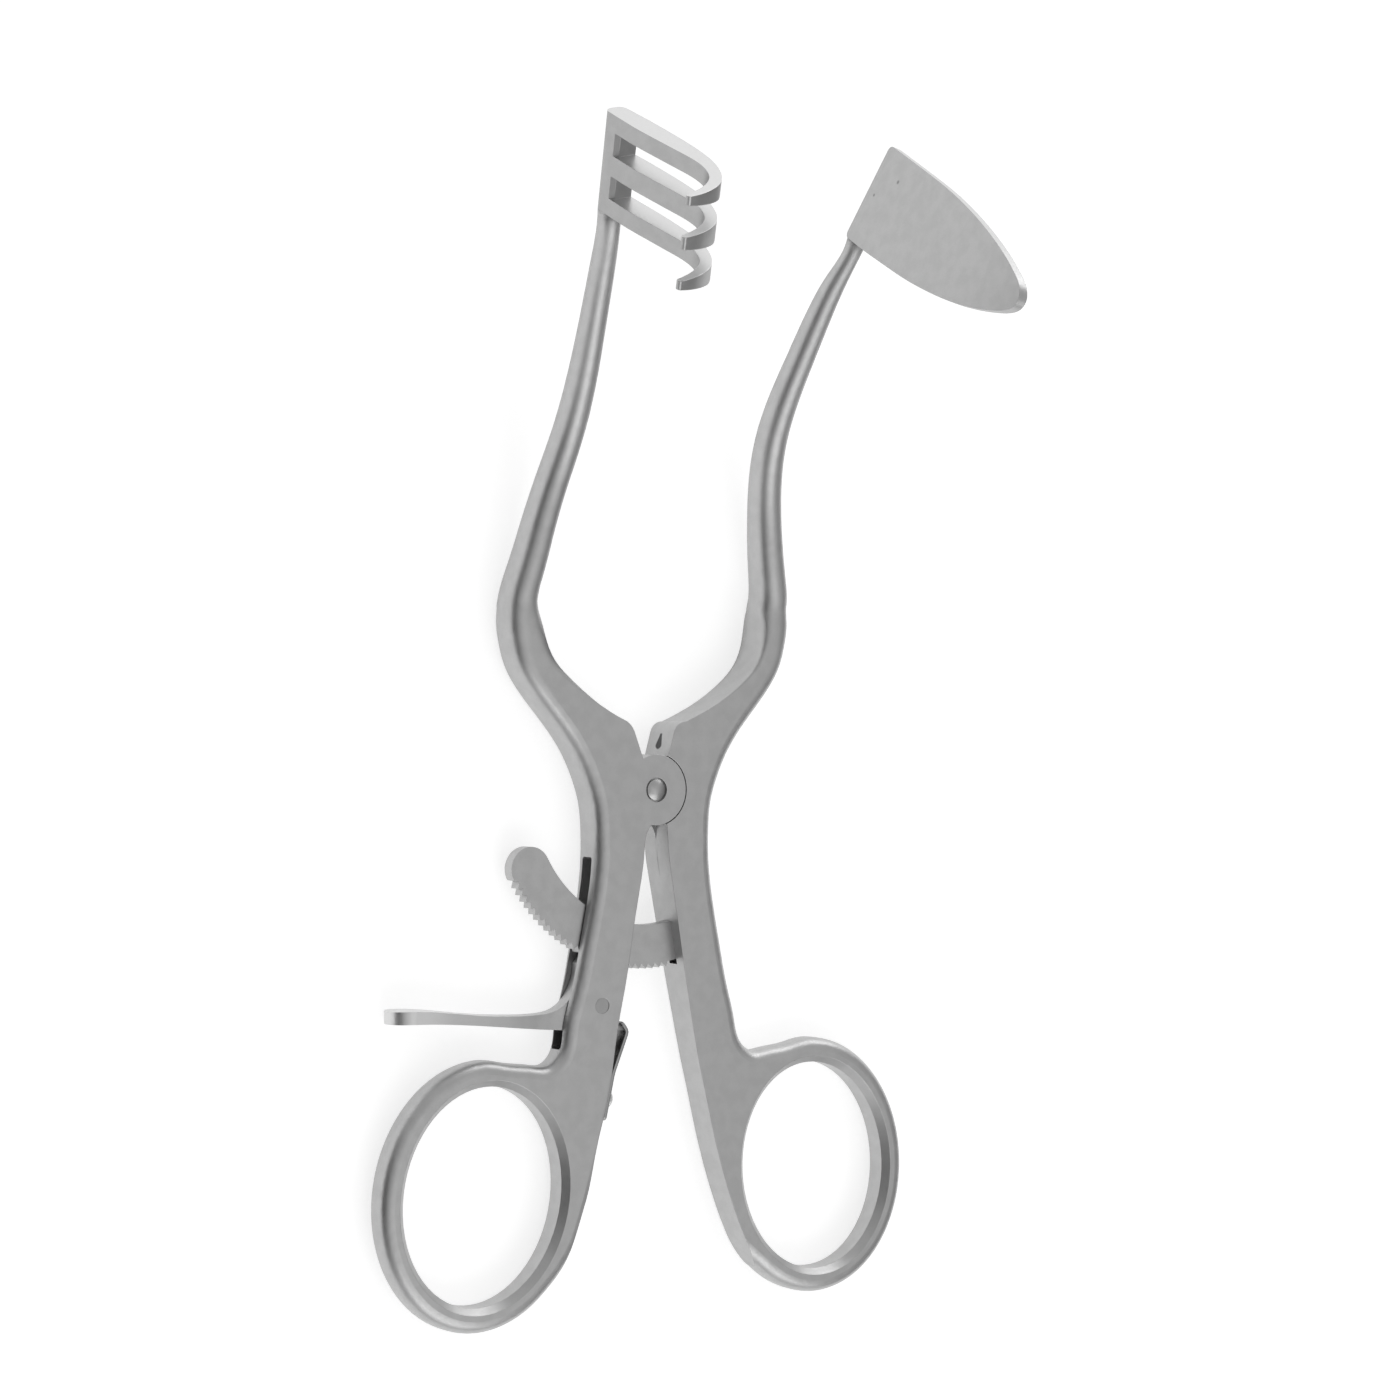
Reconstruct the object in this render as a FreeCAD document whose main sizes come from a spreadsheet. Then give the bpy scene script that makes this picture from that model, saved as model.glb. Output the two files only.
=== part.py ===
import FreeCAD, Part
import math
import os
import Sketcher
from FreeCAD import Matrix, Placement, Rotation, Vector

# Self retaining retractor: two forged halves on a lap joint, a rake blade, a solid blade,
# a curved ratchet bar and a spring loaded thumb release. Millimetres and degrees.
# The instrument lies on its back: +X to the right, +Y towards the blades, +Z away from the
# surface it lies on. The origin is on the joint axis, at the back face.

doc = FreeCAD.newDocument("retractor")
sheet = doc.addObject("Spreadsheet::Sheet", "sizes")

SIZES = [
    ("half_thickness", 6.5, "thickness of both halves at the joint"),
    ("ring_thickness", 5.0, "thickness of handles and rings from the crotch down"),
    ("edge_round", 1.9, "round along the outer edges of the forgings"),
    ("ring_chamfer", 1.0, "bevel around each finger hole"),
    ("ring_centre_left", 29.2, "finger ring centre from the mid plane, left"),
    ("ring_centre_right", 30.4, "finger ring centre from the mid plane, right"),
    ("ring_centre_down", 58.85, "finger ring centre below the joint"),
    ("ring_tilt", 9.0, "lean of each ring's long axis towards the mid plane"),
    ("ring_half_width", 15.22, "ring centre line, half width"),
    ("ring_half_height", 18.0, "ring centre line, half height"),
    ("ring_tube", 3.75, "width of the ring's bar"),
    ("knuckle_radius", 5.3, "round lap knuckle of each half"),
    ("knuckle_gap", 0.15, "gap round a knuckle in the other half's recess"),
    ("lap_clearance", 0.06, "play between the two lap faces"),
    ("pivot_diameter", 2.8, "joint pin"),
    ("pivot_head", 3.15, "domed head of the joint pin"),
    ("pivot_bore", 3.7, "counterbore round the head"),
    ("pivot_bore_depth", 0.6, "depth of that counterbore"),
    ("pivot_dome", 0.35, "height of the dome above the front face"),
    ("running_clearance", 0.03, "radial play of a turning fit"),
    ("slot_width", 2.5, "slot through the left handle"),
    ("slot_start", 9.9, "upper end of the slot below the joint"),
    ("slot_tail", 6.27, "length of the slot below the lever pin"),
    ("slot_corner", 0.4, "corner radius of the slot"),
    ("bar_outer", 26.95, "ratchet bar, radius over the tooth crests"),
    ("bar_inner", 20.35, "ratchet bar, inner radius"),
    ("bar_thickness", 2.0, "ratchet bar thickness"),
    ("bar_root", 68.0, "angle of the bar's root end inside the right handle"),
    ("first_tooth", 148.3, "angle of the first tooth crest"),
    ("tooth_pitch", 2.6, "angle from tooth to tooth"),
    ("tooth_count", 26, "number of teeth"),
    ("tooth_depth", 0.75, "depth of a tooth"),
    ("tooth_steep", 0.95, "angle taken by the locking flank of a tooth"),
    ("lever_x", 9.34, "lever pin, distance left of the mid plane"),
    ("lever_drop", 4.98, "lever pin, distance below the lowest tooth crest"),
    ("lever_pin", 2.4, "lever pin diameter"),
    ("lever_width", 2.3, "width of the lever where it runs in the slot"),
    ("thumb_width", 6.3, "width of the thumb plate"),
    ("nose_bite", 0.37, "reach of the seated nose below the tooth crests"),
    ("nose_shift", 0.45, "angle from the foot of a locking flank to the seated nose"),
    ("seat_angle", 7.0, "swing of the lever from clear of the teeth to seated"),
    ("opening_half_angle", 13.0, "turn of each blade from the mid plane"),
    ("blade_lean", 28.5, "rise of the arm ends that carry the blades"),
    ("blade_inset", 1.45, "arm end centre to the face that carries a blade's flat side"),
    ("blade_drop", 1.7, "arm end centre to the root edge of a blade"),
    ("rake_width", 14.7, "width of the rake along the arm end"),
    ("outer_prong", 2.5, "width of the two outer prongs"),
    ("middle_prong", 3.0, "width of the middle prong"),
    ("rake_root", 3.65, "width of the strip that joins the prongs"),
    ("root_round", 1.1, "round along the edges of that strip"),
    ("window_bevel", 0.62, "bevel where that strip meets the windows"),
    ("hook_taper", 1.3, "width that a hook loses towards its point"),
    ("leaf_width", 15.0, "width of the solid blade along the arm end"),
    ("leaf_root", 0.5, "root edge of the solid blade from the arm's edge"),
    ("leaf_corner", 0.9, "corner radius at that edge"),
    ("leaf_bend", 110.0, "radius of the bend towards the tip"),
    ("leaf_bend_start", 33.0, "length of the flat part of the blade"),
    ("solid_thickness", 1.4, "thickness of the solid blade"),
    ("spring_thickness", 0.5, "leaf spring thickness"),
    ("spring_width", 4.6, "leaf spring width"),
    ("screw_shank", 1.6, "spring screw shank"),
    ("screw_head", 3.2, "spring screw head"),
]
for row, (alias, value, note) in enumerate(SIZES, 1):
    sheet.set("A%d" % row, alias)
    sheet.set("B%d" % row, str(value))
    sheet.set("C%d" % row, note)
    sheet.setAlias("B%d" % row, alias)
doc.recompute()


def size(alias):
    return float(sheet.get(alias))


T = size("half_thickness")
MID = T / 2


def new_body(label):
    body = doc.addObject("PartDesign::Body", label)
    body.Label = label
    return body


def plane(body, role):
    return [f for f in body.Origin.OriginFeatures if f.Role == role][0]


def new_sketch(body, name, role="XY_Plane", lift=None):
    sketch = body.newObject("Sketcher::SketchObject", name)
    sketch.AttachmentSupport = [(plane(body, role), "")]
    sketch.MapMode = "FlatFace"
    if lift is not None:
        sketch.setExpression(".AttachmentOffset.Base.z", lift)
    return sketch


def curve(points, start=None, end=None):
    # smooth curve through the points, with unit end directions if they are given
    points = [Vector(x, y, 0) for x, y in points]
    run = [0.0]
    for a, b in zip(points, points[1:]):
        run.append(run[-1] + a.distanceToPoint(b))
    spline = Part.BSplineCurve()
    if start and end:
        spline.interpolate(Points=points, Parameters=run, Scale=False,
                           InitialTangent=Vector(*start, 0).normalize(),
                           FinalTangent=Vector(*end, 0).normalize())
    else:
        spline.interpolate(Points=points, Parameters=run)
    return spline


def line(a, b):
    return Part.LineSegment(Vector(*a, 0), Vector(*b, 0))


def chain(*points):
    return [line(a, b) for a, b in zip(points, points[1:])]


def arc(a, middle, b):
    return Part.Arc(Vector(*a, 0), Vector(*middle, 0), Vector(*b, 0))


def polar(radius, degrees):
    angle = math.radians(degrees)
    return (radius * math.cos(angle), radius * math.sin(angle))


def dome(radius, low, top):
    # half section of a rounded head, from its rim to the axis
    rise = top - low
    ball = (radius * radius + rise * rise) / (2 * rise)
    angle = math.asin(radius / ball) / 2
    return arc((radius, low), (ball * math.sin(angle), top - ball + ball * math.cos(angle)), (0, top))


def draw(sketch, geometry):
    for item in geometry:
        sketch.addGeometry(item, False)
    return sketch


def add_circle(sketch, x, y, diameter, x_rule=None, y_rule=None):
    # circle with its diameter, and if asked its centre, bound to the sheet
    n = sketch.addGeometry(Part.Circle(Vector(x, y, 0), Vector(0, 0, 1), 1.0), False)
    k = sketch.addConstraint(Sketcher.Constraint("Diameter", n, 2.0))
    sketch.setExpression("Constraints[%d]" % k, diameter)
    if x_rule is None:
        sketch.addConstraint(Sketcher.Constraint("Coincident", n, 3, -1, 1))
        return
    k = sketch.addConstraint(Sketcher.Constraint("DistanceX", n, 3, -1, 1, abs(x)))
    sketch.setExpression("Constraints[%d]" % k, x_rule)
    k = sketch.addConstraint(Sketcher.Constraint("DistanceY", n, 3, -1, 1, abs(y)))
    sketch.setExpression("Constraints[%d]" % k, y_rule)


def pad(body, sketch, name, length, reverse=False, middle=False):
    feature = body.newObject("PartDesign::Pad", name)
    feature.Profile = sketch
    feature.setExpression("Length", length)
    feature.Reversed = reverse
    feature.Midplane = middle
    sketch.Visibility = False
    return feature


def pocket(body, sketch, name, length=None, reverse=False, middle=False):
    feature = body.newObject("PartDesign::Pocket", name)
    feature.Profile = sketch
    if length is None:
        feature.Type = "ThroughAll"
    else:
        feature.setExpression("Length", length)
    feature.Reversed = reverse
    feature.Midplane = middle
    before = feature.BaseFeature.Shape.Volume
    doc.recompute()
    if feature.Shape.Volume > before - 1e-3:
        raise RuntimeError(name + " cuts nothing")
    return feature


def dress(body, kind, name, edges, rule):
    # round or bevel the given edges of what the body is so far
    base = body.Tip
    feature = body.newObject("PartDesign::" + kind, name)
    feature.Base = (base, edges)
    feature.setExpression("Radius" if kind == "Fillet" else "Size", rule)
    doc.recompute()
    return feature


def frame(origin, x_axis, y_axis):
    # placement whose local X and Y run along the two given directions
    z_axis = x_axis.cross(y_axis)
    m = Matrix(x_axis.x, y_axis.x, z_axis.x, origin.x,
               x_axis.y, y_axis.y, z_axis.y, origin.y,
               x_axis.z, y_axis.z, z_axis.z, origin.z, 0, 0, 0, 1)
    return Placement(m)


# The two halves. Points are given as distance from the mid plane and height along Y;
# side is -1 for the left half and +1 for the right one.
OUTER = [(24.9, 27.5), (25.0, 25.0), (24.6, 22.0), (23.53, 18.44), (21.4, 15.0), (17.45, 10.4),
         (14.0, 5.9), (11.75, 1.4), (10.65, -2.2), (10.3, -6.0), (10.3, -10.0), (11.0, -16.0),
         (12.5, -23.3), (14.15, -30.35), (15.4, -34.85), (15.83, -37.3), (16.7, -39.1),
         (18.52, -40.34), (21.2, -40.2), (25.0, -39.75)]
STOCK = [(13.6, -68.0), (11.3, -62.5), (9.4, -56.5), (6.9, -47.0), (3.5, -31.0), (0.6, -16.0),
         (-3.6, -9.4), (-7.6, -4.4), (-8.4, 1.5), (-5.6, 7.2), (-0.2, 11.2), (5.2, 13.8),
         (10.6, 16.6), (14.8, 19.6), (18.0, 23.0)]
WALL = {-1: [(2.2, -9.3), (2.75, -13.5), (3.75, -19.0), (5.12, -28.13), (6.45, -34.9),
             (7.25, -40.5), (8.2, -45.93), (9.62, -50.85), (10.72, -55.34), (11.64, -59.53),
             (13.16, -63.9), (15.06, -68.82), (18.07, -73.48), (20.9, -77.29)],
        1: [(2.2, -9.3), (2.85, -13.5), (3.85, -19.02), (5.51, -28.14), (6.87, -34.98),
            (8.16, -41.13), (9.45, -46.3), (10.55, -50.93), (11.73, -55.38), (13.0, -59.5),
            (14.56, -63.84), (16.62, -68.6), (19.2, -73.2), (21.8, -77.0)]}
INNER_ARM = {-1: [(5.3, 10.35), (9.95, 12.75), (15.15, 16.6), (17.9, 19.3), (19.3, 22.0),
                  (19.9, 25.0), (20.05, 27.3)],
             1: [(5.3, 10.2), (10.3, 12.44), (15.8, 15.97), (18.57, 18.78), (19.95, 21.8),
                 (20.35, 24.95), (20.1, 27.3)]}
NOTCH_FOOT = {-1: 2.42, 1: 2.1}
NOTCH = {-1: [(3.85, 8.5), (4.35, 9.45)], 1: [(3.15, 8.5), (3.65, 9.5)]}
# arm above the plate: height along Y, distance out, height in Z, width, depth, corner round
ARM = [(33.0, 21.72, 4.45, 4.3, 6.1, 1.7), (40.0, 20.27, 5.9, 4.1, 5.6, 1.6),
       (46.0, 19.12, 7.65, 4.0, 5.25, 1.55), (52.0, 18.25, 10.15, 3.9, 4.95, 1.5),
       (58.0, 18.2, 13.25, 3.75, 4.6, 1.45), (64.0, 18.8, 16.65, 3.5, 4.2, 1.35),
       (70.0, 19.6, 20.05, 3.25, 3.8, 1.2)]
ARM_TOP = {-1: (76.0, 20.65, 23.75, 3.05, 3.55, 1.15), 1: (76.0, 20.65, 23.75, 2.8, 3.1, 1.05)}
ARM_END = (21.95, 81.8, 27.25)
END_SECTION = {-1: (2.9, 3.4, 1.1), 1: (2.6, 2.9, 1.0)}
END_REACH = {-1: 1.05, 1: -0.3}
PLATE_END = 27.5
TURN = math.radians(size("opening_half_angle"))
LEAN = math.radians(size("blade_lean"))


def blade_axes(side):
    # along the arm end, down the blade, and outwards across it
    along = Vector(side * math.sin(TURN) * math.cos(LEAN),
                   math.cos(TURN) * math.cos(LEAN), math.sin(LEAN))
    down = Vector(-side * math.sin(TURN) * math.sin(LEAN),
                  -math.cos(TURN) * math.sin(LEAN), math.cos(LEAN))
    across = Vector(side * math.cos(TURN), -math.sin(TURN), 0)
    return along, down, across


def arm_end(side):
    return Vector(side * ARM_END[0], *ARM_END[1:]) + blade_axes(side)[0] * END_REACH[side]


def rounded_section(width, depth, r):
    w = width / 2
    h = depth / 2
    k = r * (1 - math.sqrt(0.5))
    g = []
    for sx, sy in ((1, 1), (-1, 1), (-1, -1), (1, -1)):
        a = (sx * w, sy * (h - r))
        b = (sx * (w - r), sy * h)
        m = (sx * (w - k), sy * (h - k))
        if sx * sy > 0:
            g.append(arc(a, m, b))
            g.append(line(b, (-sx * (w - r), sy * h)))
        else:
            g.append(arc(b, m, a))
            g.append(line(a, (sx * w, -sy * (h - r))))
    return g


def make_half(label, side):
    body = new_body(label)
    cx = size("ring_centre_left") if side < 0 else size("ring_centre_right")
    cy = -size("ring_centre_down")
    tube = size("ring_tube")
    a_out = size("ring_half_height") + tube / 2
    b_out = size("ring_half_width") + tube / 2
    tilt = math.radians(size("ring_tilt"))
    centre = Vector(side * cx, cy, 0)
    up_ring = Vector(-side * math.sin(tilt), math.cos(tilt), 0)
    out_ring = Vector(side * math.cos(tilt), math.sin(tilt), 0)
    shift = cx - 29.8

    def flip(points):
        return [(side * x, y) for x, y in points]

    def on_ring(degrees):
        # point and direction on the ring's outside, counted outwards from its top
        t = math.radians(degrees)
        point = centre + up_ring * a_out * math.cos(t) + out_ring * b_out * math.sin(t)
        go = out_ring * b_out * math.cos(t) - up_ring * a_out * math.sin(t)
        return (point.x, point.y), (go.x, go.y)

    def ring_ellipse(inset):
        return Part.Ellipse(centre + up_ring * (a_out - inset),
                            centre - out_ring * side * (b_out - inset), centre)

    # plan outline, with spare stock on the inner side that the wall is later cut from
    outer = OUTER[:-5] + [(x + shift * (i + 1) / 5, y) for i, (x, y) in enumerate(OUTER[-5:])]
    join, join_way = on_ring(10)
    leave, leave_way = on_ring(-135)
    low, high = (135, 350) if side > 0 else (10, 225)
    plan = new_sketch(body, label + "_plan")
    draw(plan, [
        curve(flip(outer) + [join], (0.0, -1.0), join_way),
        Part.ArcOfEllipse(ring_ellipse(0.0), math.radians(low), math.radians(high)),
        curve([leave] + flip(STOCK + [(20.1, PLATE_END)]), leave_way, (side * 0.15, 1.0)),
        line((side * 20.1, PLATE_END), (side * OUTER[0][0], PLATE_END)),
    ])
    pad(body, plan, label + "_plate", "sizes.half_thickness")
    doc.recompute()

    # thinner towards the rings, on both faces
    drop = (T - size("ring_thickness")) / 2
    for name, z, s in (("front", T, 1), ("back", 0.0, -1)):
        taper = new_sketch(body, label + "_taper_" + name, "YZ_Plane")
        bend = curve([(-8.0, z), (-27.0, z - s * drop / 2), (-46.0, z - s * drop)],
                     (-1.0, 0.0), (-1.0, 0.0))
        draw(taper, [bend] + chain((-46.0, z - s * drop), (-90.0, z - s * drop),
                                   (-90.0, z + s * 4), (-8.0, z + s * 4), (-8.0, z)))
        pocket(body, taper, label + "_thin_" + name, middle=True)

    # rounded edges all along the outline
    edges = []
    faces = body.Shape.Faces
    for i, edge in enumerate(body.Shape.Edges, 1):
        flat = 0
        for face in faces:
            if any(edge.isSame(e) for e in face.Edges):
                u0, u1, v0, v1 = face.ParameterRange
                if abs(face.normalAt((u0 + u1) / 2, (v0 + v1) / 2).z) > 0.9:
                    flat += 1
        if flat == 1 and min(v.Y for v in edge.Vertexes) < PLATE_END - 0.01:
            edges.append("Edge%d" % i)
    dress(body, "Fillet", label + "_edges", edges, "sizes.edge_round")

    # rising arm, from the plate's end to the blade
    along = blade_axes(side)[0]
    stations = [Vector(side * 22.5, PLATE_END, MID)]
    rows = ARM + [ARM_TOP[side]]
    stations += [Vector(side * row[1], row[0], row[2]) for row in rows]
    stations.append(arm_end(side))
    sections = []
    for i, station in enumerate(stations[1:], 1):
        last = i == len(stations) - 1
        go = along if last else (stations[i + 1] - stations[i - 1]).normalize()
        flat = Vector(go.y, -go.x, 0).normalize()
        section = body.newObject("Sketcher::SketchObject", "%s_arm_%d" % (label, i))
        section.Placement = Placement(frame(station, flat, go.cross(flat)))
        draw(section, rounded_section(*(END_SECTION[side] if last else rows[i - 1][3:])))
        sections.append(section)
    doc.recompute()
    tip = body.Tip
    ends = ["Face%d" % i for i, f in enumerate(tip.Shape.Faces, 1)
            if f.BoundBox.YLength < 1e-3 and abs(f.BoundBox.YMax - PLATE_END) < 1e-3]
    loft = body.newObject("PartDesign::AdditiveLoft", label + "_arm")
    loft.Profile = (tip, ends)
    loft.Sections = sections
    loft.Ruled = False
    doc.recompute()

    # finger hole with bevelled rims
    hole = new_sketch(body, label + "_hole")
    draw(hole, [ring_ellipse(tube)])
    cut = pocket(body, hole, label + "_finger_hole", middle=True)
    rims = []
    for i, edge in enumerate(cut.Shape.Edges, 1):
        box = edge.BoundBox
        if box.ZLength < 0.5 and Vector(box.Center.x, box.Center.y, 0).distanceToPoint(centre) < 4:
            rims.append("Edge%d" % i)
    dress(body, "Chamfer", label + "_hole_bevel", rims, "sizes.ring_chamfer")

    # flat inner wall and V notch: through everything on the lap side that carries the
    # knuckle, and with a round recess for the other half's knuckle on the other side
    wall = WALL[side]
    notch = NOTCH[side] + INNER_ARM[side][:1]
    r_own = size("knuckle_radius")
    r_room = r_own + size("knuckle_gap")
    z_split = "sizes.half_thickness / 2 %s sizes.lap_clearance / 2" % ("+" if side < 0 else "-")
    for name, r in (("knuckle", r_own), ("recess", r_room)):
        up = (NOTCH_FOOT[side], math.sqrt(r * r - NOTCH_FOOT[side] ** 2))
        low_x = 0.9 if name == "knuckle" else 1.9
        down = (low_x, -math.sqrt(r * r - low_x ** 2))
        far = (-r, 0.0) if name == "knuckle" else (r, 0.0)
        foot = [down, (1.85, -6.7)] if name == "knuckle" else [down, (2.02, -6.9)]
        sketch = new_sketch(body, label + "_" + name, lift=z_split)
        pts = flip([up, far, down])
        edge = [arc(*pts)]
        edge += [line(*flip([up, notch[0]])), arc(*flip(notch))]
        edge += [curve(flip(INNER_ARM[side]))]
        edge += [curve(flip(foot + wall))]
        edge += chain(*flip([INNER_ARM[side][-1], (-12.0, 27.3), (-12.0, -84.0), (20.5, -84.0),
                             wall[-1]]))
        draw(sketch, edge)
        upward = (side < 0) == (name == "knuckle")
        pocket(body, sketch, label + "_" + name + "_cut", "sizes.half_thickness",
               reverse=upward)

    # joint bore
    bore = new_sketch(body, label + "_bore")
    play = "" if side < 0 else " + 2 * sizes.running_clearance"
    add_circle(bore, 0, 0, "sizes.pivot_diameter" + play)
    pocket(body, bore, label + "_joint_bore", middle=True)
    return body


left = make_half("left_half", -1)
right = make_half("right_half", 1)

# left half: counterbore for the pin head, slot for bar and lever, bores for pin and screw
sink = new_sketch(left, "left_half_counterbore",
                  lift="sizes.half_thickness - sizes.pivot_bore_depth")
add_circle(sink, 0, 0, "sizes.pivot_bore")
pocket(left, sink, "left_half_pin_sink", "sizes.pivot_bore_depth + 1", reverse=True)

slot = new_sketch(left, "left_half_slot", "YZ_Plane")
px = -size("lever_x")
py = -size("bar_outer") - size("lever_drop")
LEVER_DOWN = "sizes.bar_outer + sizes.lever_drop"
y0, y1 = py - size("slot_tail"), -size("slot_start")
z0, z1 = MID - size("slot_width") / 2, MID + size("slot_width") / 2
c = size("slot_corner")
k = c * (1 - math.sqrt(0.5))
draw(slot, [
    line((y0 + c, z0), (y1 - c, z0)), arc((y1 - c, z0), (y1 - k, z0 + k), (y1, z0 + c)),
    line((y1, z0 + c), (y1, z1 - c)), arc((y1, z1 - c), (y1 - k, z1 - k), (y1 - c, z1)),
    line((y1 - c, z1), (y0 + c, z1)), arc((y0 + c, z1), (y0 + k, z1 - k), (y0, z1 - c)),
    line((y0, z1 - c), (y0, z0 + c)), arc((y0, z0 + c), (y0 + k, z0 + k), (y0 + c, z0)),
])
pocket(left, slot, "left_half_lever_slot", middle=True)

cross_bore = new_sketch(left, "left_half_lever_bore")
add_circle(cross_bore, px, py, "sizes.lever_pin", "sizes.lever_x", LEVER_DOWN)
pocket(left, cross_bore, "left_half_lever_pin_bore", middle=True)

# right half: mortise for the ratchet bar
mortise = new_sketch(right, "right_half_mortise",
                     lift="sizes.half_thickness / 2 - sizes.bar_thickness / 2")
r1, r2 = size("bar_inner"), size("bar_outer") + 0.07
e0, e1 = -100.0, -size("bar_root")
draw(mortise, [
    arc(polar(r1, e0), polar(r1, (e0 + e1) / 2), polar(r1, e1)), line(polar(r1, e1), polar(r2, e1)),
    arc(polar(r2, e1), polar(r2, (e0 + e1) / 2), polar(r2, e0)), line(polar(r2, e0), polar(r1, e0)),
])
pocket(right, mortise, "right_half_bar_mortise", "sizes.bar_thickness", reverse=True)

# ratchet bar, concentric with the joint, teeth on its far edge, round free end
bar = new_body("ratchet_bar")
R = size("bar_outer")
depth = size("tooth_depth")
start = -size("first_tooth")
pitch = size("tooth_pitch")
count = int(size("tooth_count"))
half = (R - size("bar_inner")) / 2
mean = (R + size("bar_inner")) / 2
head = start - 3.0
teeth = []
for n in range(count):
    teeth.append(polar(R, start + n * pitch))
    teeth.append(polar(R - depth, start + n * pitch + size("tooth_steep")))
first = polar(R - depth, start - pitch + size("tooth_steep"))
end_r = R - depth
flat = new_sketch(bar, "ratchet_bar_plan",
                  lift="sizes.half_thickness / 2 - sizes.bar_thickness / 2")
crown = polar(R, head)
round_mid = polar(mean, head)
turn = math.radians(head - 90)
round_mid = (round_mid[0] + half * math.cos(turn), round_mid[1] + half * math.sin(turn))
draw(flat, [arc(polar(R, head), round_mid, polar(size("bar_inner"), head))])
draw(flat, [arc(polar(size("bar_inner"), head), polar(size("bar_inner"), (head + e1) / 2),
                polar(size("bar_inner"), e1))])
draw(flat, [line(polar(size("bar_inner"), e1), polar(end_r, e1))])
draw(flat, [arc(polar(end_r, e1), polar(end_r, (e1 + start + (count - 1) * pitch) / 2), teeth[-1])])
draw(flat, chain(*([crown, first] + teeth)))
pad(bar, flat, "ratchet_bar_plate", "sizes.bar_thickness")

# joint pin: pressed in the left half, running in the right one, domed head in its bore
pin = new_body("pivot_pin")
profile = new_sketch(pin, "pivot_pin_section", "XZ_Plane")
r_pin = size("pivot_diameter") / 2
r_head = size("pivot_head") / 2
floor = T - size("pivot_bore_depth")
draw(profile, chain((0, 0), (r_pin, 0), (r_pin, floor), (r_head, floor), (r_head, T - 0.1)))
draw(profile, [dome(r_head, T - 0.1, T + size("pivot_dome")),
               line((0, T + size("pivot_dome")), (0, 0))])
turned = pin.newObject("PartDesign::Revolution", "pivot_pin_turned")
turned.Profile = profile
turned.ReferenceAxis = (profile, ["V_Axis"])
turned.Angle = 360.0
doc.recompute()

# lever pin, just under both faces of the left handle
drop_at_pin = 0.62
lever_pin = new_body("lever_pin")
pin_plan = new_sketch(lever_pin, "lever_pin_plan", lift=str(drop_at_pin))
add_circle(pin_plan, px, py, "sizes.lever_pin", "sizes.lever_x", LEVER_DOWN)
pad(lever_pin, pin_plan, "lever_pin_rod", "sizes.half_thickness - %s" % (2 * drop_at_pin))

# release lever: thumb plate, neck and pawl nose, drawn from the side and then narrowed
lever = new_body("release_lever")


def swing(point, degrees):
    a = math.radians(degrees)
    dx, dy = point[0] - px, point[1] - py
    return (px + dx * math.cos(a) - dy * math.sin(a), py + dx * math.sin(a) + dy * math.cos(a))


notch_angle = start + 13 * pitch + size("tooth_steep") + size("nose_shift")
seat = R - size("nose_bite")
tip_seat = polar(seat, notch_angle)
er = polar(1.0, notch_angle)
et = (-er[1], er[0])


def flank(length, degrees):
    a = math.radians(degrees)
    return (tip_seat[0] + length * (er[0] * math.cos(a) + et[0] * math.sin(a)),
            tip_seat[1] + length * (er[1] * math.cos(a) + et[1] * math.sin(a)))


tip = swing(tip_seat, size("seat_angle"))
nose_left = swing(flank(1.3, -26), size("seat_angle"))
nose_right = swing(flank(1.5, 38), size("seat_angle"))
side_view = new_sketch(lever, "release_lever_side", lift="(sizes.half_thickness - sizes.thumb_width) / 2")


def by_pin(*points):
    return [(px + x, py + y) for x, y in points]


top_edge = by_pin((-3.21, 3.93), (-4.11, 2.13), (-5.21, 0.73), (-7.06, -0.42), (-9.66, -0.87),
                  (-13.66, -0.87), (-20.66, -0.37), (-28.16, 0.58), (-35.06, 0.83))
low_edge = by_pin((-35.06, -1.02), (-27.66, -1.22), (-20.66, -1.87), (-12.36, -2.82), (-5.06, -3.47))
heel = by_pin((-5.06, -3.47), (-1.16, -4.07), (1.74, -4.07), (3.04, -3.27), (3.29, -2.37))
front = by_pin((3.29, -2.37), (2.94, -0.27), (1.94, 2.33), (0.44, 4.53))
draw(side_view, [
    line(tip, nose_left), curve([nose_left] + top_edge), line(top_edge[-1], low_edge[0]),
    curve(low_edge), curve(heel), curve(front + [nose_right]), line(nose_right, tip),
])
pad(lever, side_view, "release_lever_blank", "sizes.thumb_width")
doc.recompute()
ww = size("lever_width") / 2
tw = size("thumb_width") / 2
end = px - 35.06
neck = px - 6.46
bow = 1 - math.sqrt(0.5)
for name, s in (("front", 1), ("back", -1)):
    trim = new_sketch(lever, "release_lever_trim_" + name, "XZ_Plane")
    draw(trim, [
        arc((end, MID), (end + tw * bow, MID + s * tw * (1 - bow)), (end + tw, MID + s * tw)),
        curve([(end + tw, MID + s * tw), (px - 27.66, MID + s * 3.1), (px - 21.66, MID + s * 2.45),
               (px - 14.66, MID + s * 1.75), (neck, MID + s * ww)], (1.0, 0.0), (1.0, 0.0)),
    ])
    draw(trim, chain((neck, MID + s * ww), (0.0, MID + s * ww), (0.0, MID + s * 5),
                     (end - 3.6, MID + s * 5), (end - 3.6, MID), (end, MID)))
    pocket(lever, trim, "release_lever_narrow_" + name, middle=True)
eye = new_sketch(lever, "release_lever_eye")
add_circle(eye, px, py, "sizes.lever_pin + 2 * sizes.running_clearance", "sizes.lever_x",
           LEVER_DOWN)
pocket(lever, eye, "release_lever_bore", middle=True)



def blade_frame(side, width):
    # X down the blade, Y along the arm end, Z outwards on the left and inwards on the right
    along, down, across = blade_axes(side)
    corner = arm_end(side) - across * side * size("blade_inset") - down * size("blade_drop")
    return frame(corner + along * width, down, along)


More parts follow.
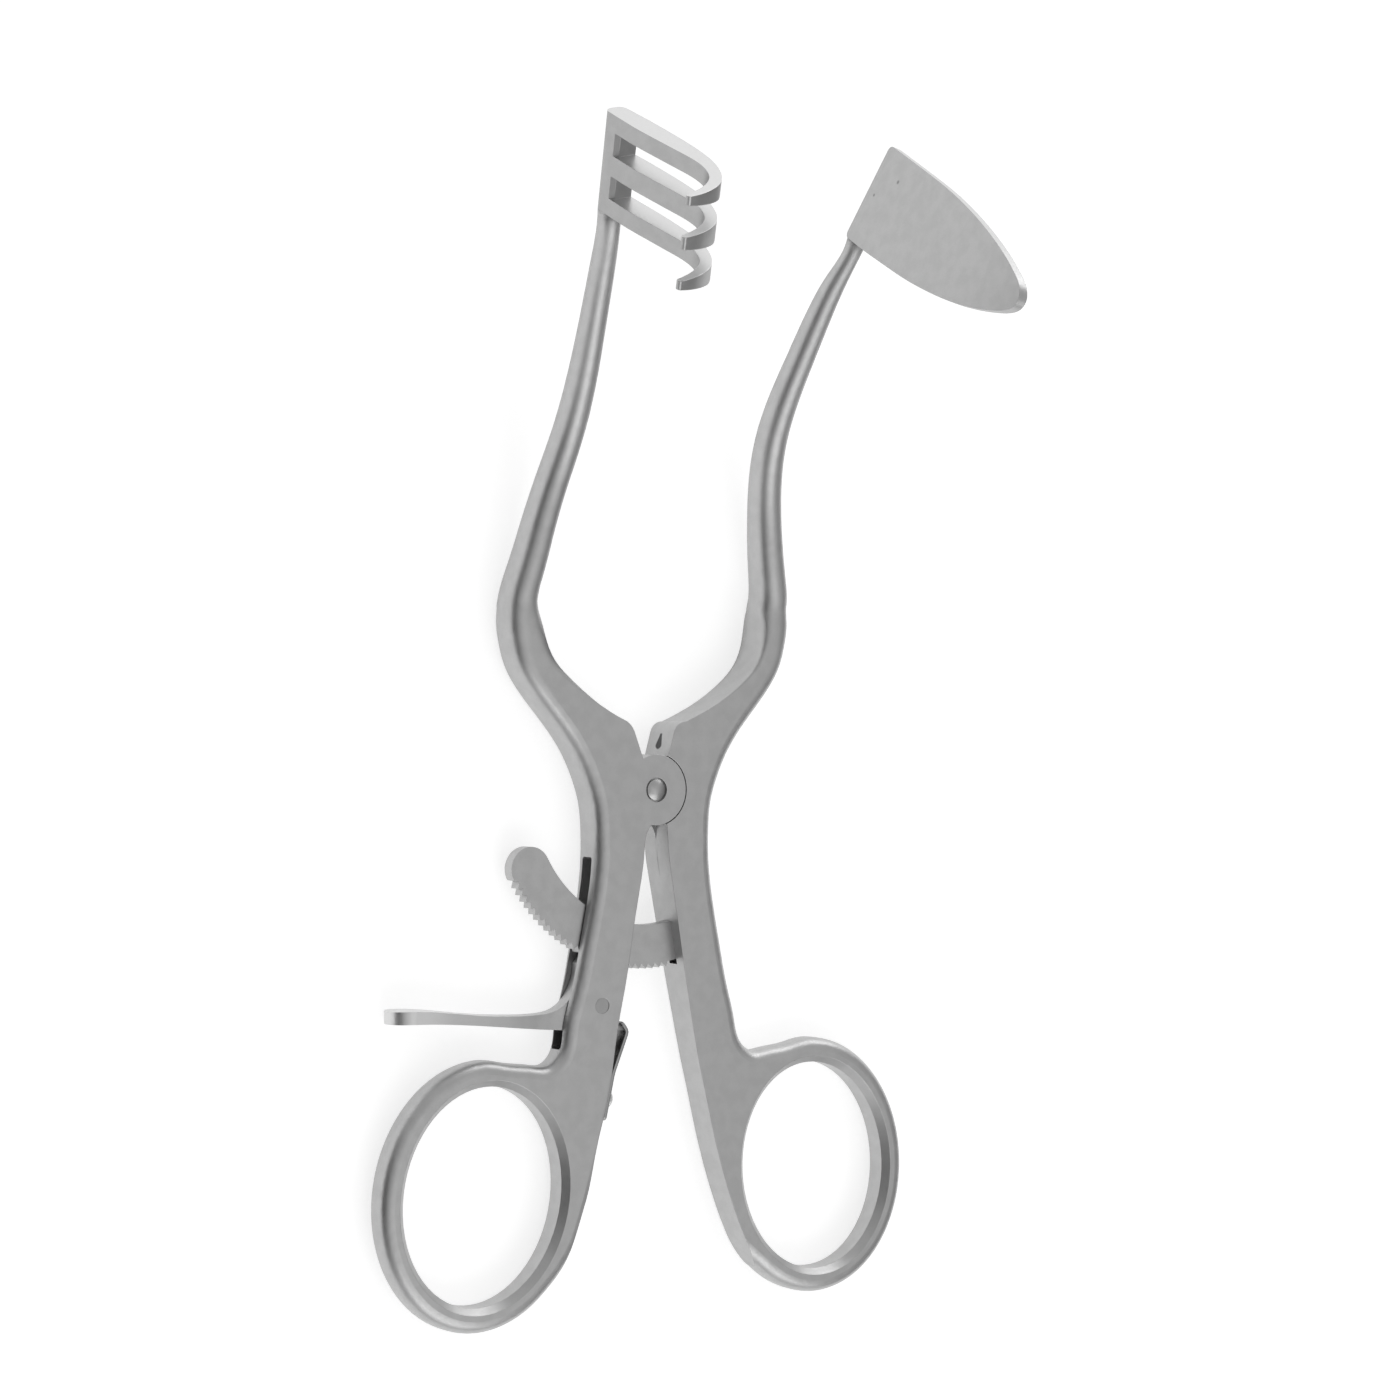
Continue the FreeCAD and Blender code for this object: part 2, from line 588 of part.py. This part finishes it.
# rake blade: the profile of its prongs and hooks, cut by two windows
rake = new_body("three_prong_blade")
W = size("rake_width")
view = new_sketch(rake, "rake_profile", "XZ_Plane")
draw(view, [
    line((0.0, -3.1), (0.0, 0.0)), line((0.0, 0.0), (6.0, 0.0)),
    curve([(6.0, 0.0), (12.0, -0.37), (16.8, -0.8), (20.1, -1.02), (22.5, -0.76), (24.5, -0.08),
           (25.9, 0.8), (27.1, 2.05), (28.1, 3.65), (28.8, 5.3), (29.3, 6.9)], (1.0, 0.0), (0.25, 1.0)),
    arc((29.3, 6.9), (29.8, 7.3), (30.2, 6.8)),
    curve([(30.2, 6.8), (30.0, 5.0), (29.35, 2.9), (28.2, 0.8), (26.5, -0.9), (24.3, -2.2),
           (21.8, -3.1), (19.1, -3.6), (15.1, -3.85), (9.8, -3.78), (4.4, -3.5), (0.0, -3.1)]),
])
pad(rake, view, "rake_plate", "sizes.rake_width")
doc.recompute()
outer_prong = size("outer_prong")
gap = (W - 2 * outer_prong - size("middle_prong")) / 2
for n, y_top in enumerate((-outer_prong, outer_prong + gap - W)):
    window = new_sketch(rake, "rake_window_%d" % (n + 1))
    x0 = size("rake_root")
    draw(window, chain((x0, y_top), (45.0, y_top), (45.0, y_top - gap), (x0, y_top - gap),
                       (x0, y_top)))
    pocket(rake, window, "rake_gap_%d" % (n + 1), middle=True)

# the hooks narrow towards their points on the side of the arm
taper = new_sketch(rake, "rake_hook_taper", "YZ_Plane")
for low in (-outer_prong, -(W + size("middle_prong")) / 2, -W):
    draw(taper, chain((low - 0.4, 0.1), (low, 0.1), (low + size("hook_taper"), 7.6),
                      (low - 0.4, 7.6), (low - 0.4, 0.1)))
pocket(rake, taper, "rake_hook_points", middle=True)
root = [
    "Edge%d" % i for i, e in enumerate(rake.Shape.Edges, 1)
    if e.BoundBox.XMax < 0.01 and e.BoundBox.YLength > W - 0.1
]
dress(rake, "Fillet", "rake_root_round", root, "sizes.root_round")
sills = [
    "Edge%d" % i for i, e in enumerate(rake.Shape.Edges, 1)
    if abs(e.BoundBox.XMin - size("rake_root")) < 0.01 and e.BoundBox.XLength < 0.01
    and abs(e.BoundBox.ZMax) < 0.01 and e.BoundBox.ZLength < 0.01
]
dress(rake, "Chamfer", "rake_window_bevel", sills, "sizes.window_bevel")
rake.Placement = blade_frame(-1, W)

# solid blade: a thin leaf, flat at the root and bent slightly outwards towards its tip
leaf = new_body("solid_blade")
ts = size("solid_thickness")
side_cut = new_sketch(leaf, "solid_profile", "XZ_Plane")
bx, br = size("leaf_bend_start"), size("leaf_bend")
a = 0.13
draw(side_cut, chain((bx, 0.0), (0.0, 0.0), (0.0, -ts), (bx, -ts)))
for r in (br, br - ts):
    draw(side_cut, [arc((bx, r - br), (bx + r * math.sin(a / 2), r * math.cos(a / 2) - br),
                        (bx + r * math.sin(a), r * math.cos(a) - br))])
draw(side_cut, [line((bx + br * math.sin(a), br * math.cos(a) - br),
                     (bx + (br - ts) * math.sin(a), (br - ts) * math.cos(a) - br))])
pad(leaf, side_cut, "solid_plate", "sizes.leaf_width + 1")
doc.recompute()
outline = new_sketch(leaf, "solid_outline")
W = size("leaf_width")
rc = size("leaf_corner")
x0 = size("leaf_root")
kc = rc * (1 - math.sqrt(0.5))
draw(outline, [
    arc((x0, -rc), (x0 + kc, -kc), (x0 + rc, 0.0)),
    curve([(x0 + rc, 0.0), (12.8, 0.0), (18.9, -0.12), (25.1, -0.55), (31.6, -1.4), (37.45, -2.6),
           (41.5, -3.9), (43.9, -5.2), (44.8, -6.6), (44.55, -7.9), (43.4, -8.95), (41.2, -10.0),
           (35.9, -11.75), (31.9, -12.7), (26.2, -13.63), (19.0, -14.4), (13.1, -W + 0.3),
           (6.5, -W + 0.05), (x0 + rc, -W)], (1.0, 0.0), (-1.0, 0.0)),
    arc((x0 + rc, -W), (x0 + kc, -W + kc), (x0, -W + rc)),
    line((x0, -W + rc), (x0, -rc)),
])
draw(outline, chain((-5.0, 5.0), (60.0, 5.0), (60.0, -25.0), (-5.0, -25.0), (-5.0, 5.0)))
pocket(leaf, outline, "solid_trim", middle=True)
leaf.Placement = blade_frame(1, W)

# leaf spring on the inner wall of the left handle, and its screw
above, foot, below = [Vector(-x, y, 0) for x, y in WALL[-1][5:8]]
wall_dir = (above - below).normalize()
out_dir = Vector(wall_dir.y, -wall_dir.x, 0)
spring = new_body("leaf_spring")
th = size("spring_thickness")
seat_gap = 0.02
strip = new_sketch(spring, "leaf_spring_side", lift="sizes.half_thickness / 2")


def at(along_wall, off):
    p = foot + wall_dir * along_wall + out_dir * (off + seat_gap)
    return (p.x, p.y)


wall_face = [at(-3.2, 0.0), at(4.0, 0.0), at(10.25, 1.03), at(11.4, -0.07)]
free_face = [at(11.75, 0.29), at(10.41, 1.56), at(3.96, th), at(-3.2, th)]
draw(strip, chain(*(wall_face + free_face + wall_face[:1])))
pad(spring, strip, "leaf_spring_strip", "sizes.spring_width", middle=True)

screw = new_body("spring_screw")
screw_view = new_sketch(screw, "spring_screw_section", "XZ_Plane")
rs, rh = size("screw_shank") / 2, size("screw_head") / 2
top = th + seat_gap
rim = top + 0.7
crest = top + 1.6
draw(screw_view, chain((0, -3.0), (rs, -3.0), (rs, top), (rh, top), (rh, rim)))
draw(screw_view, [dome(rh, rim, crest), line((0, crest), (0, -3.0))])
screwed = screw.newObject("PartDesign::Revolution", "spring_screw_turned")
screwed.Profile = screw_view
screwed.ReferenceAxis = (screw_view, ["V_Axis"])
screwed.Angle = 360.0
doc.recompute()
screw_at = foot + Vector(0, 0, MID)
screw.Placement = Placement(screw_at, Rotation(Vector(0, 0, 1), out_dir))

# holes for the screw in the spring and in the left handle
for body, name, start, reach in ((spring, "leaf_spring_hole", 2.0, 3.0),
                                 (left, "left_half_screw_hole", 0.5, 3.5)):
    mark = body.newObject("Sketcher::SketchObject", name + "_plan")
    mark.Placement = Placement(screw_at + out_dir * start, Rotation(Vector(0, 0, 1), out_dir))
    add_circle(mark, 0, 0, "sizes.screw_shank")
    pocket(body, mark, name, str(reach))

doc.recompute()
PARTS = [left, right, pin, rake, leaf, bar, lever, lever_pin, spring, screw]
for thing in doc.Objects:
    if any(flag in ("Invalid", "Error") for flag in thing.State):
        raise RuntimeError("failed: " + thing.Name)
os.makedirs("parts", exist_ok=True)
for body in PARTS:
    shape = body.Shape
    if shape.isNull() or not shape.isValid() or len(shape.Solids) != 1:
        raise RuntimeError("bad shape: %s %d" % (body.Label, len(shape.Solids)))
    print(body.Label, "volume %.1f" % shape.Volume, shape.BoundBox)
    shape.exportStep("parts/%s.step" % body.Label)
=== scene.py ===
import bpy
import math
from mathutils import Matrix, Vector


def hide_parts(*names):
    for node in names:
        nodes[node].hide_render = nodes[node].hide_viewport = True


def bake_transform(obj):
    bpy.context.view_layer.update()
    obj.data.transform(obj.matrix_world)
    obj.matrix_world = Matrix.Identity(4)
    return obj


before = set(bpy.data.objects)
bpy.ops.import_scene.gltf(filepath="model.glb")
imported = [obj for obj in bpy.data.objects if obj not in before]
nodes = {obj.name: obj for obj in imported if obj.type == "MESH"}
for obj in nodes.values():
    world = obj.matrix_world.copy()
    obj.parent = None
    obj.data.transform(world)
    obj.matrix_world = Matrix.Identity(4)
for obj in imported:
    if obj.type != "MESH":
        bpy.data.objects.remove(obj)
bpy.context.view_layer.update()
scene = bpy.context.scene
scene.view_settings.view_transform = "Standard"

# Camera. It stands above the table, half a metre off with a long lens, and looks down from the left
# of the instrument, 34.5 degrees off the upright.
CAMERA_PLACE = (-0.28328, 0.01590, 0.43013)
camera_data = bpy.data.cameras.new("camera")
camera_data.sensor_width = 36.0
camera_data.lens = 87.4
camera = bpy.data.objects.new("camera", camera_data)
scene.collection.objects.link(camera)
to_the_right = Vector((0.8241, 0.0, 0.5664))
up_the_frame = Vector((0.0027, 1.0, -0.0039)).normalized()
to_the_right = (to_the_right - up_the_frame * to_the_right.dot(up_the_frame)).normalized()
backwards = to_the_right.cross(up_the_frame)
turn = Matrix((to_the_right, up_the_frame, backwards)).transposed()
camera.matrix_world = Matrix.Translation(CAMERA_PLACE) @ turn.to_4x4()
scene.camera = camera


# Table. A plain white sheet that the instrument lies on, wide enough to fill the frame. It keeps
# the soft shadow of the instrument and shows as white to the camera and in the steel.
def linear(code):
    # sRGB hex colour to the linear values that the nodes take
    channels = [int(code[i:i + 2], 16) / 255 for i in (0, 2, 4)]
    return [c / 12.92 if c <= 0.04045 else ((c + 0.055) / 1.055) ** 2.4 for c in channels] + [1.0]


def add_node(tree, kind, settings=None, links=None):
    # one node, with its settings and the sockets that feed it, both by name or number
    node = tree.nodes.new(kind)
    for name, value in (settings or {}).items():
        if isinstance(name, int) or name in node.inputs:
            node.inputs[name].default_value = value
        else:
            setattr(node, name, value)
    for name, source in (links or {}).items():
        tree.links.new(source, node.inputs[name])
    return node.outputs[0] if node.outputs else node


def new_material(name):
    material = bpy.data.materials.new(name)
    material.use_nodes = True
    material.node_tree.nodes.clear()
    return material, material.node_tree


TABLE_SIDE = 4.0
TABLE_DROP = 0.00002  # just clear of the rings, so the two faces never flicker
TABLE_GLOW = 0.64
bpy.ops.object.select_all(action="DESELECT")
bpy.ops.mesh.primitive_plane_add(size=TABLE_SIDE, location=(0.0, 0.0, -TABLE_DROP))
table = bpy.context.object
table.name = "table"
white_card, tree = new_material("white_card")
card = add_node(tree, "ShaderNodeBsdfDiffuse", {"Color": linear("f4f4f4")})
seen_card = add_node(tree, "ShaderNodeBsdfDiffuse", {"Color": linear("d0d0d0")})
glow = add_node(tree, "ShaderNodeEmission", {"Color": linear("ffffff"), "Strength": TABLE_GLOW})
seen = add_node(tree, "ShaderNodeAddShader", links={0: seen_card, 1: glow})
rays = add_node(tree, "ShaderNodeLightPath").node.outputs
eye = add_node(tree, "ShaderNodeMath", {"operation": "MAXIMUM"},
               {0: rays["Is Camera Ray"], 1: rays["Is Glossy Ray"]})
eye = add_node(tree, "ShaderNodeMath", {"operation": "MAXIMUM"},
               {0: eye, 1: rays["Is Transmission Ray"]})
surface = add_node(tree, "ShaderNodeMixShader", links={0: eye, 1: card, 2: seen})
add_node(tree, "ShaderNodeOutputMaterial", links={"Surface": surface})
table.data.materials.append(white_card)

# Studio light. A pale room, white to the camera, that is darker low on the left and low on the
# right, and four soft boxes: over the right side, straight above, beyond the blades and beyond the
# rings.
ROOM_LIGHT = 0.58
DARK_SIDES = [  # direction, cosine where the dark starts and where it is full, how much is missing
    ((-0.97, -0.05, 0.24), 0.70, 0.95, 0.52),
    ((0.97, -0.20, 0.15), 0.66, 0.95, 0.30)]
SOFT_BOXES = {  # place, width, height, watts
    "box_right": ((0.75, 0.05, 0.95), 0.9, 1.2, 0.40),
    "box_above": ((0.16, -0.15, 1.20), 0.5, 0.9, 0.35),
    "box_blades": ((0.72, 0.95, 0.26), 1.0, 0.5, 3.0),
    "box_rings": ((0.12, -0.95, 0.85), 1.1, 0.9, 3.4)}
world = scene.world or bpy.data.worlds.new("room")
scene.world = world
world.use_nodes = True
room = world.node_tree
room.nodes.clear()
look = add_node(room, "ShaderNodeTexCoord").node.outputs["Generated"]
dark = []
for direction, starts, full, missing in DARK_SIDES:
    towards = add_node(room, "ShaderNodeVectorMath", {"operation": "DOT_PRODUCT", 1: direction},
                       {0: look}).node.outputs["Value"]
    dark.append(add_node(room, "ShaderNodeMapRange",
                         {"From Min": starts, "From Max": full, "To Min": 0.0, "To Max": missing},
                         {"Value": towards}))
both = add_node(room, "ShaderNodeMath", {"operation": "ADD"}, {0: dark[0], 1: dark[1]})
strength = add_node(room, "ShaderNodeMath", {"operation": "SUBTRACT", 0: ROOM_LIGHT}, {1: both})
wall = add_node(room, "ShaderNodeBackground", {"Color": linear("ffffff")}, {"Strength": strength})
seen_wall = add_node(room, "ShaderNodeBackground", {"Color": linear("ffffff"), "Strength": 1.0})
straight = add_node(room, "ShaderNodeLightPath").node.outputs["Is Camera Ray"]
wall = add_node(room, "ShaderNodeMixShader", links={0: straight, 1: wall, 2: seen_wall})
add_node(room, "ShaderNodeOutputWorld", links={"Surface": wall})
for name, (place, width, height, watts) in SOFT_BOXES.items():
    light = bpy.data.lights.new(name, "AREA")
    light.shape = "RECTANGLE"
    light.size = width
    light.size_y = height
    light.energy = watts
    holder = bpy.data.objects.new(name, light)
    scene.collection.objects.link(holder)
    holder.location = place
    holder.rotation_euler = (-Vector(place)).to_track_quat("-Z", "Y").to_euler()

# Forged halves. Drop-forged martensitic stainless steel, ground on the flat sides, rolled over at
# the outer edges and then blasted with glass beads. The eye gets an even, soft grey sheen with no
# lines in it, faint cloudy patches, and a fine pale line where an edge was broken.
MM = 0.001
PATCH = 2.0 * MM


def blasted_steel(name, colour, patch_colour, roughness, grit, edge):
    # grit, drawn as coarse as it needs to show, and the radius of the broken edges in metres
    material, tree = new_material(name)
    place = add_node(tree, "ShaderNodeTexCoord").node.outputs["Object"]
    patches = add_node(tree, "ShaderNodeTexNoise", {"Scale": 1 / PATCH, "Detail": 4.0},
                       {"Vector": place})
    beads = add_node(tree, "ShaderNodeTexNoise", {"Scale": 1 / grit, "Detail": 2.0},
                     {"Vector": place})
    spread = add_node(tree, "ShaderNodeMapRange", {"From Min": 0.38, "From Max": 0.62},
                      {"Value": patches})
    tone = add_node(tree, "ShaderNodeMixRGB",
                    {"Color1": linear(colour), "Color2": linear(patch_colour)}, {"Fac": spread})
    rough = add_node(tree, "ShaderNodeMapRange",
                     {"From Min": 0.35, "From Max": 0.65, "To Min": roughness - 0.05,
                      "To Max": roughness + 0.05}, {"Value": beads})
    broken_edge = add_node(tree, "ShaderNodeBevel", {"samples": 8, "Radius": edge})
    pits = add_node(tree, "ShaderNodeBump", {"Strength": 0.25, "Distance": 0.02 * MM},
                    {"Height": beads, "Normal": broken_edge})
    steel = add_node(tree, "ShaderNodeBsdfPrincipled", {"Metallic": 1.0},
                     {"Base Color": tone, "Roughness": rough, "Normal": pits})
    add_node(tree, "ShaderNodeOutputMaterial", links={"Surface": steel})
    return material


def paint_over(material, mask, colour):
    # another colour on the steel where the mask is 1
    tree = material.node_tree
    steel = tree.nodes["Principled BSDF"]
    under = steel.inputs["Base Color"].links[0].from_socket
    tone = add_node(tree, "ShaderNodeMixRGB", {"Color2": linear(colour)},
                    {"Fac": mask, "Color1": under})
    tree.links.new(tone, steel.inputs["Base Color"])


def dress(name, material):
    nodes[name].data.materials.clear()
    nodes[name].data.materials.append(material)


def round_arms(material):
    # the arms were dressed rounder than the flat plates: the edge radius grows from the joint up
    tree = material.node_tree
    place = tree.nodes["Texture Coordinate"].outputs["Object"]
    axes = add_node(tree, "ShaderNodeSeparateXYZ", links={0: place}).node.outputs
    radius = add_node(tree, "ShaderNodeMapRange",
                      {"From Min": 12 * MM, "From Max": 24 * MM, "To Min": 0.12 * MM,
                       "To Max": 2.6 * MM}, {"Value": axes["Y"]})
    tree.links.new(radius, tree.nodes["Bevel"].inputs["Radius"])
    return axes


forging = blasted_steel("bead_blasted_forging", "bdbdbd", "b8b8b8", 0.40, 0.22 * MM, 0.12 * MM)
round_arms(forging)
dress("left_half", forging)

# Dark mark. The right half, from the same forging and blasted alike, carries one dark tapered mark
# painted on the short wall above the joint, 2.4 mm tall.
MARK_FOOT, MARK_TOP = 5.95 * MM, 8.3 * MM
MARK_SOFT = 0.2 * MM
MARK_MIDDLE = 3.1 * MM
MARK_FOOT_HALF, MARK_TOP_HALF = 0.85 * MM, 0.30 * MM
MARK_FOOT_ROUND = 650.0  # the foot is a parabola across the mark, metres per square metre
WALL_X = 3.6 * MM
marked = blasted_steel("bead_blasted_forging_marked", "bdbdbd", "b8b8b8", 0.40, 0.22 * MM,
                       0.12 * MM)
tree = marked.node_tree
axes = round_arms(marked)
half_width = add_node(tree, "ShaderNodeMapRange",
                      {"interpolation_type": "SMOOTHSTEP", "From Min": 6.4 * MM,
                       "From Max": 8.4 * MM, "To Min": MARK_FOOT_HALF, "To Max": MARK_TOP_HALF},
                      {"Value": axes["Y"]})
off_middle = add_node(tree, "ShaderNodeMath", {"operation": "SUBTRACT", 1: MARK_MIDDLE},
                      {0: axes["Z"]})
off_middle = add_node(tree, "ShaderNodeMath", {"operation": "ABSOLUTE"}, {0: off_middle})
across = add_node(tree, "ShaderNodeMath", {"operation": "DIVIDE"},
                  {0: off_middle, 1: half_width})
dark_mark = add_node(tree, "ShaderNodeMapRange",
                  {"From Min": 0.80, "From Max": 1.10, "To Min": 0.92, "To Max": 0.0},
                  {"Value": across})
lift = add_node(tree, "ShaderNodeMath", {"operation": "POWER", 1: 2.0}, {0: off_middle})
lift = add_node(tree, "ShaderNodeMath", {"operation": "MULTIPLY", 1: MARK_FOOT_ROUND},
                {0: lift})
height = add_node(tree, "ShaderNodeMath", {"operation": "SUBTRACT"}, {0: axes["Y"], 1: lift})
above_foot = add_node(tree, "ShaderNodeMapRange",
                      {"From Min": MARK_FOOT, "From Max": MARK_FOOT + MARK_SOFT},
                      {"Value": height})
below_top = add_node(tree, "ShaderNodeMapRange",
                     {"From Min": MARK_TOP, "From Max": MARK_TOP + MARK_SOFT, "To Min": 1.0,
                      "To Max": 0.0}, {"Value": axes["Y"]})
on_wall = add_node(tree, "ShaderNodeMath", {"operation": "LESS_THAN", 1: WALL_X}, {0: axes["X"]})
for limit in (above_foot, below_top, on_wall):
    dark_mark = add_node(tree, "ShaderNodeMath", {"operation": "MULTIPLY"}, {0: dark_mark, 1: limit})
# dark tapered mark painted on the wall above the joint
paint_over(marked, dark_mark, "3a3a3a")
dress("right_half", marked)

# Joint pin. A turned and riveted stainless steel pin whose domed head shows in its counterbore. It
# is smoother than the halves, with a dark ring of shadow round it.
turned = blasted_steel("turned_pin_steel", "bcbcbc", "b2b2b2", 0.34, 0.15 * MM, 0.05 * MM)
dress("pivot_pin", turned)


# Rake blade. Cut and bent from 3 mm stainless steel plate, hooks ground to a taper, edges left
# crisp, then bead blasted with the arm to which it is brazed. Its distal faces carry a painted
# highlight.
def paint_distal_highlight(material, colour):
    # painted highlight: paler colour on faces looking away from the joint, towards the light beyond
    # the blades
    tree = material.node_tree
    normal = tree.nodes["Texture Coordinate"].outputs["Normal"]
    facing = add_node(tree, "ShaderNodeSeparateXYZ", links={0: normal}).node.outputs["Y"]
    distal_highlight = add_node(tree, "ShaderNodeMapRange", {"From Min": 0.35, "From Max": 0.70},
                      {"Value": facing})
    paint_over(material, distal_highlight, colour)


plate = blasted_steel("bead_blasted_plate", "aeaeae", "a9a9a9", 0.38, 0.20 * MM, 0.15 * MM)
# painted highlight on the rake's distal faces
paint_distal_highlight(plate, "dadada")
dress("three_prong_blade", plate)

# Solid blade. A leaf of thin stainless steel sheet, bent slightly outwards at the tip and brazed to
# the right arm. Two small pits from the rolling mill show on its inner face near the root.
PITS = [(Vector((22.18, 89.22, 36.79)) * MM, 0.40 * MM),
        (Vector((21.88, 87.96, 31.40)) * MM, 0.30 * MM)]
leaf = blasted_steel("bead_blasted_sheet", "b6b6b6", "b1b1b1", 0.40, 0.20 * MM, 0.10 * MM)
tree = leaf.node_tree
place = tree.nodes["Texture Coordinate"].outputs["Object"]
for centre, reach in PITS:
    near = add_node(tree, "ShaderNodeVectorMath", {"operation": "DISTANCE", 1: centre},
                    {0: place}).node.outputs["Value"]
    pit = add_node(tree, "ShaderNodeMapRange",
                   {"From Min": reach * 0.4, "From Max": reach, "To Min": 0.7, "To Max": 0.0},
                   {"Value": near})
    paint_over(leaf, pit, "6a6a6a")
# painted highlight on the solid blade's distal faces
paint_distal_highlight(leaf, "cccccc")
dress("solid_blade", leaf)

# Ratchet bar. Blanked from 2 mm stainless steel strip, its saw teeth cut with a form cutter, and
# blasted all over, so that the flat sides and the tooth flanks have one even grey.
strip = blasted_steel("blasted_strip_steel", "bfbfbf", "b9b9b9", 0.42, 0.25 * MM, 0.06 * MM)
dress("ratchet_bar", strip)

# Release lever. Filed to shape from one bar, thumb plate, neck and pawl nose together, and blasted
# over the file marks, which still show as short lines across the neck. The thumb plate is painted
# paler towards its end, a painted highlight of the light from above.
FILE_LINE, FILE_STROKE = 0.35 * MM, 4.0 * MM
HIGHLIGHT_STARTS, HIGHLIGHT_FULL = -20.0 * MM, -32.0 * MM
filed = blasted_steel("filed_lever_steel", "c1c1c1", "bbbbbb", 0.38, 0.25 * MM, 0.10 * MM)
tree = filed.node_tree
place = tree.nodes["Texture Coordinate"].outputs["Object"]
normal = tree.nodes["Principled BSDF"].inputs["Normal"]
stretch = add_node(tree, "ShaderNodeMapping",
                   {"Scale": (1 / FILE_LINE, 1 / FILE_LINE, 1 / FILE_STROKE)}, {"Vector": place})
file_lines = add_node(tree, "ShaderNodeTexNoise", {"Scale": 1.0, "Detail": 1.0},
                      {"Vector": stretch})
scored = add_node(tree, "ShaderNodeBump", {"Strength": 0.35, "Distance": 0.04 * MM},
                  {"Height": file_lines, "Normal": normal.links[0].from_socket})
tree.links.new(scored, normal)
reach_out = add_node(tree, "ShaderNodeSeparateXYZ", links={0: place}).node.outputs["X"]
# painted highlight, paler towards the end of the thumb plate
thumb_plate_highlight = add_node(tree, "ShaderNodeMapRange",
                {"From Min": HIGHLIGHT_STARTS, "From Max": HIGHLIGHT_FULL, "To Min": 0.0, "To Max": 0.9},
                {"Value": reach_out})
paint_over(filed, thumb_plate_highlight, "dcdcdc")
dress("release_lever", filed)

# Lever pin. A plain stainless steel cross pin, pressed in and dressed flush, so it shows only as a
# faint, slightly darker disc on each face of the handle.
pressed = blasted_steel("pressed_pin_steel", "b0b0b0", "ababab", 0.46, 0.20 * MM, 0.03 * MM)
dress("lever_pin", pressed)

# Leaf spring. Hardened stainless spring strip, half a millimetre thick, bent out from the handle
# and back at its free end, where it bears on the tail of the lever. Rolled smooth, a shade darker.
FOOT = Vector((-8.2, -45.93, 3.25)) * MM
ALONG = Vector((0.2232, 0.9748, 0.0))
OUT = Vector((0.9748, -0.2232, 0.0))
STRIP_LINE = [FOOT + ALONG * (a * MM) + OUT * (o * MM) for a, o in (
    (-3.2, 0.27), (-1.6, 0.27), (1.6, 0.27), (3.6, 0.27), (4.3, 0.33), (7.2, 0.82), (9.9, 1.27),
    (10.35, 1.28), (10.7, 1.08), (11.6, 0.14))]
STRIP_WIDTH = 4.6 * MM
STRIP_THICKNESS = 0.5 * MM
STRIP_CORNER = 0.6 * MM
STRIP_EDGE = 0.06 * MM
CLOSE = 0.01 * MM
bpy.ops.object.select_all(action="DESELECT")
bpy.ops.mesh.primitive_plane_add(size=1.0, location=(0.0, 0.0, 0.0))
spring = bpy.context.object
spring.name = "spring_strip"
first, second = STRIP_LINE[:2]
half = Vector((0.0, 0.0, STRIP_WIDTH / 2))
start = (first - half, second - half, first + half, second + half)
for vertex, point in zip(spring.data.vertices, start):
    vertex.co = point
bpy.ops.object.mode_set(mode="EDIT")
bpy.ops.mesh.select_mode(type="EDGE")
bpy.ops.mesh.select_all(action="DESELECT")
bpy.ops.object.mode_set(mode="OBJECT")
for edge in spring.data.edges:
    ends = [spring.data.vertices[i].co for i in edge.vertices]
    edge.select = all((end - second).dot(ALONG) > -CLOSE for end in ends)
bpy.ops.object.mode_set(mode="EDIT")
for before, after in zip(STRIP_LINE[1:], STRIP_LINE[2:]):
    bpy.ops.mesh.extrude_region_move(TRANSFORM_OT_translate={"value": tuple(after - before)})
bpy.ops.object.mode_set(mode="OBJECT")
corners = [v.index for v in spring.data.vertices
           if (v.co - first).dot(ALONG) < CLOSE or (v.co - STRIP_LINE[-1]).dot(ALONG) > -CLOSE]
bpy.ops.object.mode_set(mode="EDIT")
bpy.ops.mesh.select_mode(type="VERT")
bpy.ops.mesh.select_all(action="DESELECT")
bpy.ops.object.mode_set(mode="OBJECT")
for corner in corners:
    spring.data.vertices[corner].select = True
bpy.ops.object.mode_set(mode="EDIT")
bpy.ops.mesh.bevel(offset=STRIP_CORNER, segments=4, affect="VERTICES")
bpy.ops.object.mode_set(mode="OBJECT")
thickness = spring.modifiers.new("thickness", "SOLIDIFY")
thickness.thickness = STRIP_THICKNESS
thickness.offset = 0.0
broken = spring.modifiers.new("broken_edges", "BEVEL")
broken.width = STRIP_EDGE
broken.segments = 2
broken.limit_method = "ANGLE"
broken.angle_limit = math.radians(50)
for modifier in ("thickness", "broken_edges"):
    bpy.ops.object.modifier_apply(modifier=modifier)
bpy.ops.object.shade_smooth_by_angle(angle=math.radians(40))
rolled = blasted_steel("rolled_spring_steel", "a4a4a4", "9c9c9c", 0.32, 0.30 * MM, 0.04 * MM)
spring.data.materials.append(rolled)
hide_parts("leaf_spring")
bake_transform(spring)

# Spring screw. A small turned stainless steel screw with a domed head, bright from the lathe; its
# paler colour also holds a painted highlight of the dome.
bright = blasted_steel("bright_screw_steel", "c8c8c8", "bebebe", 0.25, 0.15 * MM, 0.05 * MM)
dress("spring_screw", bright)
